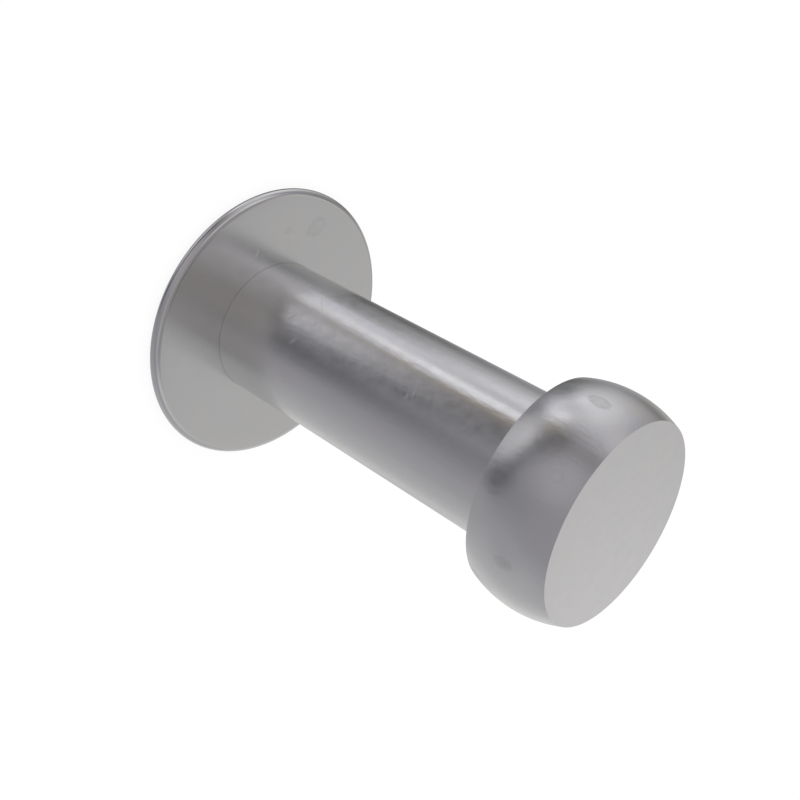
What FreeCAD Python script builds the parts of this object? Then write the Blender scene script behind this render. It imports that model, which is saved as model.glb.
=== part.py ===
# A solid rivet as it looks once it is set: a thin round flange, a plain round shank and a formed head.
# It is one piece of metal, so it is one outline turned about one axis.
# Units are millimetres. The rivet's axis is +Z, and it stands on the flange's flat back at z = 0.
import FreeCAD, Part
import math
import os

# Shank, which fills the holes in the joined sheets
shank_diameter = 4.80
grip_length = 12.25  # from the flange's bearing face to the formed head's underside

# Flange, the wide thin head that the rivet was made with
flange_diameter = 9.97
flange_thickness = 0.45  # its edge is a full round, so the edge's radius is half of this

# Formed head, upset from the shank's end into a barrel: a ball cut flat at both ends
barrel_diameter = 7.10  # the ball's own diameter, at the head's widest
barrel_height = 1.17  # from the head's underside up to its widest
formed_head_height = 2.66

# Heights and radii that follow from those sizes
shank_radius = shank_diameter / 2
edge_radius = flange_thickness / 2
bearing_face_radius = flange_diameter / 2 - edge_radius
barrel_radius = barrel_diameter / 2
bearing_face_z = flange_thickness
underside_z = bearing_face_z + grip_length
widest_z = underside_z + barrel_height
end_face_z = underside_z + formed_head_height


def barrel_radius_at(z):
    """The formed head's radius at a height: that of the ball, whose centre is at widest_z."""
    return math.sqrt(barrel_radius ** 2 - (z - widest_z) ** 2)


def outline_point(radius, z):
    return FreeCAD.Vector(radius, 0, z)


def rivet_outline():
    """Half of the rivet's section, in the XZ plane, as one closed wire from the axis out and back."""
    back_centre = outline_point(0, 0)
    back_edge = outline_point(bearing_face_radius, 0)
    rim = outline_point(flange_diameter / 2, edge_radius)
    bearing_face_edge = outline_point(bearing_face_radius, bearing_face_z)
    root = outline_point(shank_radius, bearing_face_z)
    neck = outline_point(shank_radius, underside_z)
    underside_edge = outline_point(barrel_radius_at(underside_z), underside_z)
    widest = outline_point(barrel_radius, widest_z)
    end_face_edge = outline_point(barrel_radius_at(end_face_z), end_face_z)
    end_face_centre = outline_point(0, end_face_z)
    edges = [
        Part.LineSegment(back_centre, back_edge),
        Part.Arc(back_edge, rim, bearing_face_edge),
        Part.LineSegment(bearing_face_edge, root),
        Part.LineSegment(root, neck),
        Part.LineSegment(neck, underside_edge),
        Part.Arc(underside_edge, widest, end_face_edge),
        Part.LineSegment(end_face_edge, end_face_centre),
        Part.LineSegment(end_face_centre, back_centre),
    ]
    return Part.Wire([edge.toShape() for edge in edges])


def make_rivet():
    """The outline turned once about the Z axis."""
    axis_point = FreeCAD.Vector(0, 0, 0)
    axis_direction = FreeCAD.Vector(0, 0, 1)
    return Part.Face(rivet_outline()).revolve(axis_point, axis_direction, 360)


def write_part(node, shape):
    print(node, shape.ShapeType, "valid" if shape.isValid() else "not valid", round(shape.Volume, 3), "mm3")
    shape.exportStep(os.path.join("parts", node + ".step"))


os.makedirs("parts", exist_ok=True)
write_part("rivet", make_rivet())
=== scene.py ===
import bpy
import numpy as np
from mathutils import Matrix, Vector


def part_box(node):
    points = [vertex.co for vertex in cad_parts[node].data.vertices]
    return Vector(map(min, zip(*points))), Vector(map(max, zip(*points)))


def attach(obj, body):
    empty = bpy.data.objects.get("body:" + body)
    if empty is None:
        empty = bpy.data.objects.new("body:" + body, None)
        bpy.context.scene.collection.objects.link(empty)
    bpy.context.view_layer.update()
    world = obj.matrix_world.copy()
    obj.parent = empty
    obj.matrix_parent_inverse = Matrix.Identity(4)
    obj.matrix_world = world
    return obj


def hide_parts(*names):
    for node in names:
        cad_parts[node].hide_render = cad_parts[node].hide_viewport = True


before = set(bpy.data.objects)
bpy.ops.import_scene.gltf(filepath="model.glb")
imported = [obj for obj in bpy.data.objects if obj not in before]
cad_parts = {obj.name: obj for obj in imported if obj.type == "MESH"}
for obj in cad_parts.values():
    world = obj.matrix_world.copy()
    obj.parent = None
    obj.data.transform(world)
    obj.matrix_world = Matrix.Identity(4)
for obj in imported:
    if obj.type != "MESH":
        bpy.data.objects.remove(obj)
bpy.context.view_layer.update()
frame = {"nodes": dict(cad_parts)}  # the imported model, in metres
print("frame loaded with nodes:", ", ".join(frame["nodes"]))

millimetre = 0.001


# Small helpers for meshes and node trees

def polarMesh(name, radius, height, sides):
    # Turns a profile about Z: x = radius cos(angle), y = radius sin(angle), z = height.
    # A profile end that lies on the axis becomes one point with a fan of triangles round it.
    startsOnAxis = radius[0] == 0
    endsOnAxis = radius[-1] == 0
    ringRadius = radius[int(startsOnAxis):len(radius) - int(endsOnAxis)]
    ringHeight = height[int(startsOnAxis):len(height) - int(endsOnAxis)]
    angle = np.arange(sides) * 2 * np.pi / sides
    x = np.outer(ringRadius, np.cos(angle))
    y = np.outer(ringRadius, np.sin(angle))
    z = np.outer(ringHeight, np.ones(sides))
    points = np.stack([x, y, z], axis=-1).reshape(-1, 3)
    rings = len(ringRadius)
    index = np.arange(rings * sides).reshape(rings, sides)
    after = np.roll(index, -1, axis=1)
    quads = np.stack([index[:-1], after[:-1], after[1:], index[1:]], axis=-1).reshape(-1, 4)
    faces = quads.tolist()
    if startsOnAxis:
        first = np.full(sides, len(points))
        points = np.vstack([points, (0, 0, height[0])])
        faces += np.stack([first, after[0], index[0]], axis=-1).tolist()
    if endsOnAxis:
        last = np.full(sides, len(points))
        points = np.vstack([points, (0, 0, height[-1])])
        faces += np.stack([index[-1], after[-1], last], axis=-1).tolist()
    mesh = bpy.data.meshes.new(name)
    mesh.from_pydata(points.tolist(), [], faces)
    mesh.shade_smooth()
    return mesh


def addObject(name, mesh, *materials):
    piece = bpy.data.objects.new(name, mesh)
    bpy.context.collection.objects.link(piece)
    for material in materials:
        mesh.materials.append(material)
    return piece


def newTree(material):
    material.use_nodes = True
    material.node_tree.nodes.clear()
    return material.node_tree


def addNode(tree, kind, **settings):
    node = tree.nodes.new(kind)
    for setting, value in settings.items():
        setattr(node, setting, value)
    return node


def plug(socket, value):
    # Links a node's output to the socket, and writes anything else on it as its value.
    if isinstance(value, bpy.types.NodeSocket):
        socket.id_data.links.new(value, socket)
    else:
        socket.default_value = value


def fill(node, *inOrder, **byName):
    # Plugs values into the node's first sockets in order, and others into the sockets that they name.
    for socket, value in zip(node.inputs, inOrder):
        plug(socket, value)
    for name, value in byName.items():
        plug(node.inputs[name.replace("_", " ")], value)
    return node


def mixColours(tree, factor, first, second):
    # From the first colour to the second as the factor goes from 0 to 1. Each is an output or three numbers.
    mix = fill(addNode(tree, "ShaderNodeMix", data_type="RGBA"), factor)
    for socket, colour in zip(mix.inputs[6:8], (first, second)):  # the node's two colour sockets
        plug(socket, colour + (1,) if isinstance(colour, tuple) else colour)
    return mix.outputs[2]


# The rivet: one smooth surface in place of the faceted node, on the same outline

rivetForm = {  # millimetres; the flange's width and the top come from the frame
    "shankDiameter": 4.80,
    "gripLength": 12.25,
    "flangeThickness": 0.45,
    "barrelDiameter": 7.10,
    "barrelHeight": 1.17,  # from the formed head's underside up to its widest
    "creaseWidth": 0.028,  # the width of the ring in the corner where the shank meets a flat face, where painted shade darkens the metal
    "sides": 400,
    "rimSteps": 28,
    "barrelSteps": 60,
    "flatSteps": 6,
    "shankSteps": 12,
}


def rivetProfile(form, flangeWidth, top):
    # The outline from the axis out along the back, up the side and in along the end face, in millimetres.
    # Each stretch is a line or an arc: radius = centre + r cos(angle), height = centre + r sin(angle).
    shank = form["shankDiameter"] / 2
    edge = form["flangeThickness"] / 2
    flat = flangeWidth / 2 - edge
    bearing = form["flangeThickness"]
    underside = bearing + form["gripLength"]
    barrel = form["barrelDiameter"] / 2
    widest = underside + form["barrelHeight"]
    crease = form["creaseWidth"]
    rimAngle = np.linspace(-np.pi / 2, np.pi / 2, form["rimSteps"])
    lowAngle = np.arcsin((underside - widest) / barrel)
    highAngle = np.arcsin((top - widest) / barrel)
    barrelAngle = np.linspace(lowAngle, highAngle, form["barrelSteps"])
    steps = form["flatSteps"]
    shankHeight = np.linspace(bearing + 2 * crease, underside - 2 * crease, form["shankSteps"])
    undersideEdge = barrel * np.cos(lowAngle)
    endFaceEdge = barrel * np.cos(highAngle)
    stretches = [
        (np.linspace(0, flat, steps)[:-1], np.zeros(steps - 1)),
        (flat + edge * np.cos(rimAngle), edge + edge * np.sin(rimAngle)),
        (np.linspace(flat, shank + crease, steps)[1:], np.full(steps - 1, bearing)),
        (np.array([shank, shank]), np.array([bearing, bearing + crease])),
        (np.full(form["shankSteps"], shank), shankHeight),
        (np.array([shank, shank]), np.array([underside - crease, underside])),
        (np.array([shank + crease]), np.array([underside])),
        (barrel * np.cos(barrelAngle), widest + barrel * np.sin(barrelAngle)),
        (np.linspace(endFaceEdge, 0, steps)[1:], np.full(steps - 1, top)),
    ]
    radius = np.concatenate([stretch[0] for stretch in stretches])
    height = np.concatenate([stretch[1] for stretch in stretches])
    sharpCorners = [
        (shank, bearing),
        (shank, underside),
        (undersideEdge, underside),
        (endFaceEdge, top),
    ]
    return radius, height, sharpCorners


def ringsAt(radius, height, corners):
    # Which rings of the profile lie on one of the corners. Its two ends are points on the axis, not rings.
    onCorner = 1e-6  # millimetres
    gaps = [np.hypot(radius - corner[0], height - corner[1]) for corner in corners]
    return (np.min(gaps, axis=0) < onCorner)[1:-1]


def markSharpEdges(mesh, sharpRing, sides):
    # An edge is sharp where both its ends lie on the same sharp ring of the lathe.
    ends = np.empty(len(mesh.edges) * 2, dtype=np.int32)
    mesh.edges.foreach_get("vertices", ends)
    ring = ends.reshape(-1, 2) // sides
    ringCount = len(sharpRing)
    onRing = (ring[:, 0] == ring[:, 1]) & (ring[:, 0] < ringCount)
    sharp = onRing & sharpRing[np.minimum(ring[:, 0], ringCount - 1)]
    flags = mesh.attributes.new("sharp_edge", "BOOLEAN", "EDGE")
    flags.data.foreach_set("value", sharp)


def markPaintedCreaseShade(mesh, paintedShadeRing, sides):
    # A number on each point, 1 in the corner at the shank's foot and neck and 0 elsewhere: where painted
    # shade darkens the metal's colour as shade in the corner would.
    value = np.zeros(len(mesh.vertices), dtype=np.float32)
    value[:len(paintedShadeRing) * sides] = np.repeat(paintedShadeRing, sides)
    attribute = mesh.attributes.new("crease", "FLOAT", "POINT")
    attribute.data.foreach_set("value", value)


metalSlots = {"shank": 0, "flats": 1, "rim": 2, "head": 3}  # the order of the rivet's materials


def chooseFinish(mesh, form):
    # A face square to the axis, where the normal's Z is 1 or -1, takes the flats' material. Of the others,
    # those below the bearing face take the rim's, those above the underside the head's, and those between
    # the two the shank's.
    squareToAxis = 0.9995  # the least that a flat face's normal has along Z
    count = len(mesh.polygons)
    normals = np.empty(count * 3, dtype=np.float32)
    centres = np.empty(count * 3, dtype=np.float32)
    mesh.polygons.foreach_get("normal", normals)
    mesh.polygons.foreach_get("center", centres)
    height = centres.reshape(-1, 3)[:, 2] / millimetre
    flat = np.abs(normals.reshape(-1, 3)[:, 2]) > squareToAxis
    bearing = form["flangeThickness"]
    underside = bearing + form["gripLength"]
    slots = [metalSlots["flats"], metalSlots["rim"], metalSlots["head"]]
    choice = np.select([flat, height < bearing, height > underside], slots, metalSlots["shank"])
    mesh.polygons.foreach_set("material_index", choice.astype(np.int32))


def makeRivet(form, metals):
    low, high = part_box("rivet")
    flangeWidth = max(high.x - low.x, high.y - low.y) / millimetre
    top = high.z / millimetre
    radius, height, sharpCorners = rivetProfile(form, flangeWidth, top)
    mesh = polarMesh("rivetBody", radius * millimetre, height * millimetre, form["sides"])
    shankCorners = sharpCorners[:2]
    markSharpEdges(mesh, ringsAt(radius, height, sharpCorners), form["sides"])
    markPaintedCreaseShade(mesh, ringsAt(radius, height, shankCorners), form["sides"])
    rivet = addObject("rivetBody", mesh, *[metals[part] for part in metalSlots])
    chooseFinish(mesh, form)
    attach(rivet, "root")
    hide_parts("rivet")


# Satin metal: drawn wire that was headed cold, so it is even and close-grained, with a few faint press marks,
# painted shade in the crease at the shank's foot and neck, and painted highlights on a few nicks

rivetMetal = {
    "warmGrey": (0.673, 0.662, 0.651),  # the two greys that it strays between
    "coolGrey": (0.649, 0.660, 0.673),
    "mottle": (900, 4.0),  # each noise's scale, in features to the metre, and its detail, here and below
    "roughness": (2600, 3.0),
    "waves": (900, 1.0),
    "lines": (5500, 1.0),
    "grain": (6500, 3.0),
    "roughnessNoise": (0.3, 0.7),  # the noise where the metal is smoothest and roughest
    # painted shade: the share of the colour left in the crease at the shank's foot and neck
    "paintedCreaseShade": 0.80,
}

markLook = {
    "wobble": (4000, 1.0),  # the noise that makes a mark's outline ragged
    "patches": (3200, 2.0),  # the noise that wears it thin in places
    "patchNoise": (0.38, 0.55),  # where it is most worn, and where it is whole
    "patchLeast": 0.65,  # what is left of it where it is most worn
    "ringFade": (0.75, 1.2),  # in half widths from the middle, where its ring begins to fade and has gone
    "middleFade": (0.4, 0.8),  # where its middle begins to turn to the ring and has done so
    "roundEnd": 0.3,  # how far its rounded end goes past its point, in half widths
    "depth": 0.000003,  # metres
}
noiseMiddle = 0.5
alongAxis = 0.25  # turns from the tangent that runs round the axis

# Drawn wire, where reflections are drawn out along the shank. Waves, lines and grain each have a stretch,
# which under 1 draws them out along the shank too, and a depth in metres.
shankFinish = {
    "roughness": (0.15, 0.20),
    "drawnOut": 0.92,
    "waves": (1.0, 0.000004),
    "lines": (0.03, 0.0000022),
    "grain": (0.35, 0.0000038),
}

# The formed head, upset from the same wire and softer for it.
headFinish = {
    "roughness": (0.21, 0.26),
    "drawnOut": 0.60,
    "waves": (1.0, 0.000004),
    "lines": (0.2, 0.0000010),
    "grain": (0.5, 0.0000042),
}

# The flange's rolled edge, the smoothest finish on the piece.
rimFinish = {
    "roughness": (0.14, 0.17),
    "drawnOut": 0.0,
    "waves": (1.0, 0.000002),
    "lines": (1.0, 0.0000003),
    "grain": (1.0, 0.0000004),
}

# Pressed flats, close and even.
flatFinish = {
    "roughness": (0.19, 0.23),
    "drawnOut": 0.0,
    "waves": (1.0, 0.000001),
    "lines": (1.0, 0.0000001),
    "grain": (1.0, 0.0000004),
}

# For each mark: the two points that it runs between and its half width, in millimetres, how ragged it is, and
# the shade of its ring and of its middle. A shade over 1 is a painted highlight, the light that a nick
# catches, painted into its colour on top of its dent.
headMarks = {
    "headLeft": ((-2.60, -2.36, 13.83), (-2.64, -2.40, 14.45), 0.24, 0.10, 0.78, 0.80),
    "headRight": ((2.38, -2.62, 13.92), (2.38, -2.62, 14.42), 0.20, 0.30, 0.90, 0.88),
    "headFront": ((-0.31, -3.46, 14.51), (-0.31, -3.42, 14.87), 0.18, 0.35, 0.97, 1.01),
}
shankMarks = {
    "hairLine": ((-1.60, -1.79, 3.31), (-1.20, -2.08, 3.84), 0.030, 0.35, 0.91, 0.91),
    "footScuff": ((-0.46, -2.36, 3.03), (-0.75, -2.28, 3.18), 0.055, 0.6, 0.86, 0.84),
    "footFaint": ((-0.63, -2.32, 4.06), (-0.86, -2.24, 4.06), 0.040, 0.5, 0.90, 0.90),
    # painted highlight: this nick's colour is lighter, standing in for the light that it catches
    "footTickPaintedHighlight": ((0.25, -2.39, 3.56), (-0.04, -2.40, 3.77), 0.055, 0.5, 1.18, 1.26),
    "footSpeck": ((-0.72, -2.29, 5.02), (-0.76, -2.28, 5.03), 0.030, 0.3, 0.90, 0.90),
    "lowSpeck": ((-0.17, -2.39, 5.14), (-0.21, -2.39, 5.14), 0.030, 0.3, 0.88, 0.88),
    "midSpeckLow": ((-0.20, -2.39, 8.16), (-0.24, -2.39, 8.23), 0.070, 0.6, 0.90, 0.90),
    "midSpeckHigh": ((-0.20, -2.39, 8.47), (-0.24, -2.39, 8.54), 0.065, 0.6, 0.90, 0.90),
    # painted highlight: this tick's colour is lighter, standing in for the light that it catches
    "midTickLowPaintedHighlight": ((-0.09, -2.40, 8.64), (-0.29, -2.38, 8.62), 0.045, 0.5, 1.08, 1.16),
    "midSpeckFront": ((-0.12, -2.40, 8.74), (-0.16, -2.39, 8.76), 0.050, 0.5, 0.90, 0.90),
    # painted highlight: this tick's colour is lighter, standing in for the light that it catches
    "midTickHighPaintedHighlight": ((-0.25, -2.39, 8.80), (-0.42, -2.37, 8.79), 0.045, 0.5, 1.08, 1.16),
    "midSpeckFar": ((-0.27, -2.38, 8.87), (-0.36, -2.37, 8.90), 0.045, 0.5, 0.92, 0.92),
}
flatMarks = {
    "flangeLeft": ((-3.48, -0.80, 0.45), (-4.12, -0.47, 0.45), 0.34, 0.9, 0.925, 0.965),
    "flangeFront": ((-2.96, -1.84, 0.45), (-3.22, -1.72, 0.45), 0.10, 0.6, 0.93, 0.96),
    # painted highlight: this nick's colour is lighter, standing in for the light that it catches
    "flangeNickPaintedHighlight": ((-2.00, -2.53, 0.45), (-1.73, -2.48, 0.45), 0.055, 0.5, 1.14, 1.20),
}


def multiply(tree, first, second):
    return fill(addNode(tree, "ShaderNodeMath", operation="MULTIPLY"), first, second).outputs["Value"]


def noiseAt(tree, place, noise, output="Fac"):
    scale, detail = noise
    return fill(addNode(tree, "ShaderNodeTexNoise"), Vector=place, Scale=scale, Detail=detail).outputs[output]


def distanceFromMiddle(tree, local):
    return fill(addNode(tree, "ShaderNodeVectorMath", operation="LENGTH"), local).outputs["Value"]


def mapRange(tree, value, lowest, highest, first, last, smooth=False):
    node = addNode(tree, "ShaderNodeMapRange", interpolation_type="SMOOTHSTEP" if smooth else "LINEAR")
    fill(node, Value=value, From_Min=lowest, From_Max=highest, To_Min=first, To_Max=last)
    return node.outputs["Result"]


def shadeOfMark(tree, place, wobble, patches, mark):
    # Distance = length of (place - middle) / half sizes + raggedness * wobble, with the long half size from
    # the middle to either end. The shade is 1 beyond a distance of about 1, falls smoothly to the ring's
    # there, and turns to the middle's further in. The patches wear the whole mark thin in places.
    start, end, halfWidth, ragged, ringShade, middleShade = mark
    start, end = Vector(start) * millimetre, Vector(end) * millimetre
    halfWidth *= millimetre
    halfLength = (end - start).length / 2 + halfWidth * markLook["roundEnd"]
    turn = (end - start).to_track_quat("Z", "Y").to_euler()
    local = addNode(tree, "ShaderNodeMapping", vector_type="TEXTURE")
    halfSizes = (halfWidth, halfWidth, halfLength)
    fill(local, Vector=place, Location=(start + end) / 2, Rotation=turn, Scale=halfSizes)
    shaken = addNode(tree, "ShaderNodeVectorMath", operation="MULTIPLY_ADD")
    fill(shaken, wobble, (ragged,) * 3, local.outputs["Vector"])
    distance = distanceFromMiddle(tree, shaken.outputs["Vector"])
    outer = mapRange(tree, distance, *markLook["ringFade"], ringShade, 1.0, smooth=True)
    inner = mapRange(tree, distance, *markLook["middleFade"], middleShade / ringShade, 1.0, smooth=True)
    worn = fill(addNode(tree, "ShaderNodeMix", data_type="FLOAT"), patches)
    for socket, shade in zip(worn.inputs[2:4], (1.0, multiply(tree, outer, inner))):  # its two number sockets
        plug(socket, shade)
    return worn.outputs[0]


def reliefOfMarks(tree, place, marks):
    # The shades of all the marks multiplied together, the nicks' painted highlights among them, or None for a
    # finish that has no marks.
    if not marks:
        return None
    noise = noiseAt(tree, place, markLook["wobble"], "Color")
    wobble = fill(addNode(tree, "ShaderNodeVectorMath", operation="SUBTRACT"), noise, (noiseMiddle,) * 3)
    wear = noiseAt(tree, place, markLook["patches"])
    patches = mapRange(tree, wear, *markLook["patchNoise"], markLook["patchLeast"], 1.0)
    shades = [shadeOfMark(tree, place, wobble.outputs["Vector"], patches, mark) for mark in marks.values()]
    markShadeAndPaintedHighlight = shades[0]
    for shade in shades[1:]:
        markShadeAndPaintedHighlight = multiply(tree, markShadeAndPaintedHighlight, shade)
    return markShadeAndPaintedHighlight


def metalColour(tree, place, look, markShadeAndPaintedHighlight):
    # A grey that strays between two, times the painted shade of the crease, times the shade of the marks,
    # which holds the nicks' painted highlights.
    grey = mixColours(tree, noiseAt(tree, place, look["mottle"]), look["warmGrey"], look["coolGrey"])
    crease = addNode(tree, "ShaderNodeAttribute", attribute_name="crease").outputs["Fac"]
    shade = mapRange(tree, crease, 0, 1, 1.0, look["paintedCreaseShade"])
    if markShadeAndPaintedHighlight is not None:
        shade = multiply(tree, shade, markShadeAndPaintedHighlight)
    return fill(addNode(tree, "ShaderNodeVectorMath", operation="SCALE"), grey, Scale=shade).outputs["Vector"]


def addBump(tree, height, depth, under):
    # Raises the surface by depth * height, on top of the relief that is under it.
    bump = fill(addNode(tree, "ShaderNodeBump"), Height=height, Distance=depth)
    if under is not None:
        fill(bump, Normal=under)
    return bump.outputs["Normal"]


def metalRelief(tree, place, look, finish, markShadeAndPaintedHighlight):
    # Waves, with lines on them, grain on those and the marks on top. A stretch under 1 draws a noise out
    # along Z.
    normal = None
    for layer in ("waves", "lines", "grain"):
        stretch, depth = finish[layer]
        drawn = fill(addNode(tree, "ShaderNodeMapping"), Vector=place, Scale=(1, 1, stretch))
        normal = addBump(tree, noiseAt(tree, drawn.outputs["Vector"], look[layer]), depth, normal)
    return normal if markShadeAndPaintedHighlight is None else addBump(tree, markShadeAndPaintedHighlight, markLook["depth"], normal)


def makeRivetMetal(name, look, finish, marks):
    material = bpy.data.materials.new(name)
    tree = newTree(material)
    place = addNode(tree, "ShaderNodeTexCoord").outputs["Object"]
    markShadeAndPaintedHighlight = reliefOfMarks(tree, place, marks)
    noise = noiseAt(tree, place, look["roughness"])
    rough = mapRange(tree, noise, *look["roughnessNoise"], *finish["roughness"])
    surface = addNode(tree, "ShaderNodeBsdfPrincipled")
    fill(surface, Metallic=1.0, Roughness=rough, Base_Color=metalColour(tree, place, look, markShadeAndPaintedHighlight),
         Normal=metalRelief(tree, place, look, finish, markShadeAndPaintedHighlight))
    if finish["drawnOut"] > 0:
        around = addNode(tree, "ShaderNodeTangent", direction_type="RADIAL", axis="Z").outputs["Tangent"]
        fill(surface, Tangent=around, Anisotropic=finish["drawnOut"], Anisotropic_Rotation=alongAxis)
    fill(addNode(tree, "ShaderNodeOutputMaterial"), Surface=surface.outputs["BSDF"])
    return material


rivetMetals = {
    "shank": makeRivetMetal("satinRivetShank", rivetMetal, shankFinish, shankMarks),
    "flats": makeRivetMetal("satinRivetFlats", rivetMetal, flatFinish, flatMarks),
    "rim": makeRivetMetal("satinRivetRim", rivetMetal, rimFinish, {}),
    "head": makeRivetMetal("satinRivetHead", rivetMetal, headFinish, headMarks),
}
makeRivet(rivetForm, rivetMetals)
print("rivet surface made")


# Floor: pale, and bright enough of itself to go white, with a soft shadow under the rivet

floorLook = {
    "radius": 0.6,  # metres
    "rings": 9,
    "sides": 96,
    "diffuse": 0.15,  # the part that takes the shadow
    "glow": 0.87,
}


def makeFloor(look):
    # A disc: its ring radius falls evenly from the edge to the middle, all at height 0.
    material = bpy.data.materials.new("paleFloor")
    tree = newTree(material)
    paper = fill(addNode(tree, "ShaderNodeBsdfDiffuse"), Color=(look["diffuse"],) * 3 + (1,))
    glow = fill(addNode(tree, "ShaderNodeEmission"), Strength=look["glow"])
    both = fill(addNode(tree, "ShaderNodeAddShader"), paper.outputs["BSDF"], glow.outputs["Emission"])
    fill(addNode(tree, "ShaderNodeOutputMaterial"), Surface=both.outputs["Shader"])
    radius = np.linspace(look["radius"], 0, look["rings"])
    floor = addObject("floor", polarMesh("floor", radius, np.zeros(look["rings"]), look["sides"]), material)
    floor.visible_glossy = False  # the metal looks through it, at the cards


makeFloor(floorLook)
print("floor made")


# Cards: a dome that only the metal sees, with soft-edged cards on it as a studio has them

cardDome = {
    "radius": 1.0,  # metres, and the cards' places count on it
    "slopes": 33,
    "sides": 64,
    "between": (0.395, 0.385, 0.415),  # where no card hangs
    "brightness": 0.91,
}

# For each card, back to front: azimuth and elevation of its middle, with 0 at the camera's side, its width
# and height, each under 180, how far it is turned, all in degrees, the share of it that is even, and its
# colour.
studioCards = {
    "zenithShade": (0, 90, 110, 110, 0, 0.3, (0.38, 0.37, 0.375)),
    "roomWall": (105, -20, 170, 170, 0, 0.2, (0.588, 0.578, 0.595)),
    "backWall": (175, 33, 118, 78, 5, 0.2, (0.65, 0.643, 0.634)),
    "backSill": (167, 17, 67, 26, 20, 0.0, (1.0, 0.97, 0.98)),
    "rightSill": (128, 18, 64, 30, 0, 0.0, (0.62, 0.61, 0.61)),
    "highRight": (121, 44, 108, 42, 0, 0.3, (0.73, 0.72, 0.72)),
    "highBackLeft": (-142, 43, 48, 40, 0, 0.3, (0.66, 0.65, 0.635)),
    "backGap": (-134, 29, 38, 32, 0, 0.2, (0.29, 0.285, 0.265)),
    "highLeft": (-80, 38, 56, 43, 0, 0.1, (1.00, 0.97, 0.98)),
    "highFrontLeft": (-50, 48, 54, 38, 0, 0.2, (0.72, 0.695, 0.70)),
    "highFrontRight": (56, 46, 60, 40, 0, 0.2, (0.57, 0.545, 0.54)),
    "highFront": (2, 47, 74, 36, 0, 0.2, (0.535, 0.495, 0.465)),
    "farRight": (152, -24, 108, 134, 0, 0.0, (0.86, 0.86, 0.85)),
    "limbShade": (162, -32, 60, 14, 0, 0.2, (0.68, 0.67, 0.67)),
    "leftBack": (-160, -5, 46, 64, 0, 0.0, (0.59, 0.59, 0.545)),
    "leftDusk": (-127, -44, 66, 46, 8, 0.3, (0.12, 0.13, 0.12)),
    "leftPost": (-138, -10, 23, 52, 0, 0.0, (0.25, 0.24, 0.21)),
    "warmFringe": (-117, -7, 26, 44, 0, 0.0, (0.46, 0.43, 0.385)),
    "softTop": (-69, 17, 50, 28, 0, 0.2, (0.64, 0.63, 0.65)),
    "softBox": (-90, -17, 154, 77, 28, 0.0, (0.99, 0.98, 1.01)),
    "softBoxLow": (-62, -31, 67, 27, 39, 0.0, (1.18, 1.15, 1.17)),
    "windowStrip": (-80.5, -38.5, 25, 25, -40, 0.0, (1.07, 1.09, 1.19)),
    "stripGap": (-80, -30, 13, 24, 10, 0.1, (0.66, 0.65, 0.69)),
    "brightLine": (-64, -33, 17, 22, 8, 0.15, (1.39, 1.37, 1.40)),
    "brassEdge": (-48, -31.5, 18, 34, 12, 0.0, (0.84, 0.64, 0.34)),
    "sideStrip": (-94, -27, 27, 17, 0, 0.0, (1.12, 1.11, 1.17)),
    "duskEdge": (-112, -40, 44, 17, 0, 0.0, (0.185, 0.19, 0.205)),
    "lowShade": (-77, -51.5, 52, 24, 0, 0.0, (0.24, 0.24, 0.26)),
    "fillCard": (-33, -51, 70, 50, -42, 0.35, (0.715, 0.705, 0.73)),
    "darkStrip": (-141, -43, 34, 34, 0, 0.0, (0.12, 0.12, 0.11)),
    "darkPost": (-41, -21, 54, 58, -20, 0.0, (0.165, 0.155, 0.145)),
    "darkPostHigh": (-39, 19, 28, 62, 0, 0.0, (0.31, 0.30, 0.305)),
    "darkBar": (-19, -32, 74, 19, -32, 0.35, (0.142, 0.142, 0.162)),
    "barUnder": (-35, -33, 34, 14, -12, 0.3, (0.15, 0.14, 0.125)),
    "fillTop": (-34, -42, 32, 12, -22, 0.2, (0.97, 0.95, 1.01)),
    "darkFoot": (18, -47, 44, 55, 32, 0.05, (0.115, 0.115, 0.128)),
    "footShade": (60, -55, 34, 32, 0, 0.0, (0.47, 0.465, 0.475)),
    "rightFoot": (27, -20, 44, 60, 0, 0.0, (0.34, 0.335, 0.36)),
    "frontTop": (-9, 6, 64, 60, 23, 0.3, (0.50, 0.485, 0.52)),
    "rightShade": (74, -21, 62, 42, 13, 0.0, (0.455, 0.45, 0.475)),
}


def towards(azimuth, elevation):
    # Unit vector at an azimuth and elevation in degrees; azimuth 0 is towards -Y and 90 towards +X.
    a, e = np.radians([azimuth, elevation])
    return Vector((np.sin(a) * np.cos(e), -np.cos(a) * np.cos(e), np.sin(e)))


def cardTurn(azimuth, elevation, turn):
    # Rotation whose X runs along the card's width, Y up its height and Z out through its middle.
    outward = towards(azimuth, elevation)
    level = Vector((0, 0, 1)).cross(outward).normalized()
    upward = outward.cross(level)
    t = np.radians(turn)
    wide = level * np.cos(t) + upward * np.sin(t)
    high = upward * np.cos(t) - level * np.sin(t)
    return Matrix((wide, high, outward)).transposed().to_euler()


def addCard(tree, place, colourBehind, card):
    # The card covers a point in full where its distance from the card's middle, as a share of the half width
    # and half height, is under the even share, and fades out smoothly to nothing at 1.
    azimuth, elevation, width, height, turn, even, colour = card
    local = addNode(tree, "ShaderNodeMapping", vector_type="TEXTURE")
    halfWidth, halfHeight = np.sin(np.radians([width / 2, height / 2]))
    fill(local, Vector=place, Location=towards(azimuth, elevation),
         Rotation=cardTurn(azimuth, elevation, turn), Scale=(halfWidth, halfHeight, 1))
    distance = distanceFromMiddle(tree, local.outputs["Vector"])
    cover = mapRange(tree, distance, even, 1.0, 1.0, 0.0, smooth=True)
    return mixColours(tree, cover, colourBehind, colour)


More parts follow.
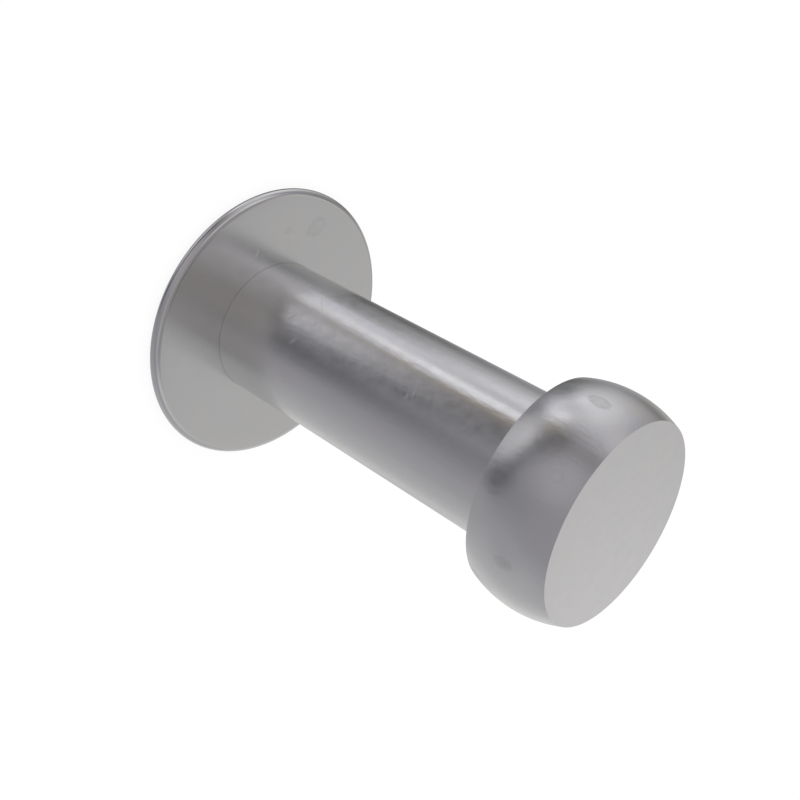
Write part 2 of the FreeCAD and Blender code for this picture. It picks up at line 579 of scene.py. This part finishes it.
def makeCardDome(dome, cards):
    # A whole ball, from pole to pole: ring radius = radius cos(slope), height = radius sin(slope).
    material = bpy.data.materials.new("studioCards")
    tree = newTree(material)
    place = addNode(tree, "ShaderNodeTexCoord").outputs["Object"]
    colour = dome["between"]
    for card in cards.values():
        colour = addCard(tree, place, colour, card)
    glow = fill(addNode(tree, "ShaderNodeEmission"), Color=colour, Strength=dome["brightness"])
    fill(addNode(tree, "ShaderNodeOutputMaterial"), Surface=glow.outputs["Emission"])
    material.cycles.emission_sampling = "NONE"
    slope = np.linspace(-np.pi / 2, np.pi / 2, dome["slopes"])
    radius = dome["radius"] * np.cos(slope)
    radius[[0, -1]] = 0  # the poles lie on the axis
    height = dome["radius"] * np.sin(slope)
    shell = addObject("cardDome", polarMesh("cardDome", radius, height, dome["sides"]), material)
    shell.visible_camera = False
    shell.visible_diffuse = False
    shell.visible_transmission = False
    shell.visible_shadow = False


makeCardDome(cardDome, studioCards)
print("studio cards hung:", len(studioCards))


# White room light

roomLight = {
    "colour": (1, 1, 1),
    "strength": 1.0,
}


def makeWorld(light):
    world = bpy.data.worlds.new("whiteRoom")
    bpy.context.scene.world = world
    world.use_nodes = True
    fill(world.node_tree.nodes["Background"], Color=light["colour"] + (1,), Strength=light["strength"])
    world.cycles.sampling_method = "NONE"  # the dome stands in for it in the metal, so it isn't sampled there


makeWorld(roomLight)
print("room lit")


# Camera, at the photo's angle: the rivet's axis runs down to the right in the picture

photoView = {
    "lens": 50,
    "sensor": 36,
    "clip": (0.001, 10),  # metres, the nearest and the farthest that it sees
    "pictureWidth": 800,
    "bearingCentrePixel": (273.7, 326.95),  # where the middle of the flange's bearing face shows
    "distance": 39.45,  # millimetres from the camera to that middle, along the line of sight
    "axisToSight": 54.73,  # degrees between the rivet's axis and the line of sight
    "axisSlope": -30.03,  # degrees of the axis in the picture
}


def makeCamera(view, form):
    data = bpy.data.cameras.new("camera")
    data.lens = view["lens"]
    data.sensor_width = view["sensor"]
    data.clip_start, data.clip_end = view["clip"]
    camera = bpy.data.objects.new("camera", data)
    bpy.context.collection.objects.link(camera)
    back = towards(0, 90 - view["axisToSight"])
    axisShown = (Vector((0, 0, 1)) - back * back.z).normalized()  # the rivet's axis as the picture shows it
    across = back.cross(axisShown)
    slope = np.radians(view["axisSlope"])
    right = axisShown * np.cos(slope) - across * np.sin(slope)
    up = axisShown * np.sin(slope) + across * np.cos(slope)
    pixels = view["lens"] / view["sensor"] * view["pictureWidth"]
    column, row = view["bearingCentrePixel"]
    distance = view["distance"] * millimetre
    shiftRight = (column - view["pictureWidth"] / 2) / pixels * distance
    shiftUp = (view["pictureWidth"] / 2 - row) / pixels * distance
    target = Vector((0, 0, form["flangeThickness"] * millimetre))
    place = target - right * shiftRight - up * shiftUp + back * distance
    camera.matrix_world = Matrix.Translation(place) @ Matrix((right, up, back)).transposed().to_4x4()
    bpy.context.scene.camera = camera


makeCamera(photoView, rivetForm)
bpy.context.scene.view_settings.view_transform = "Standard"
print("camera placed")
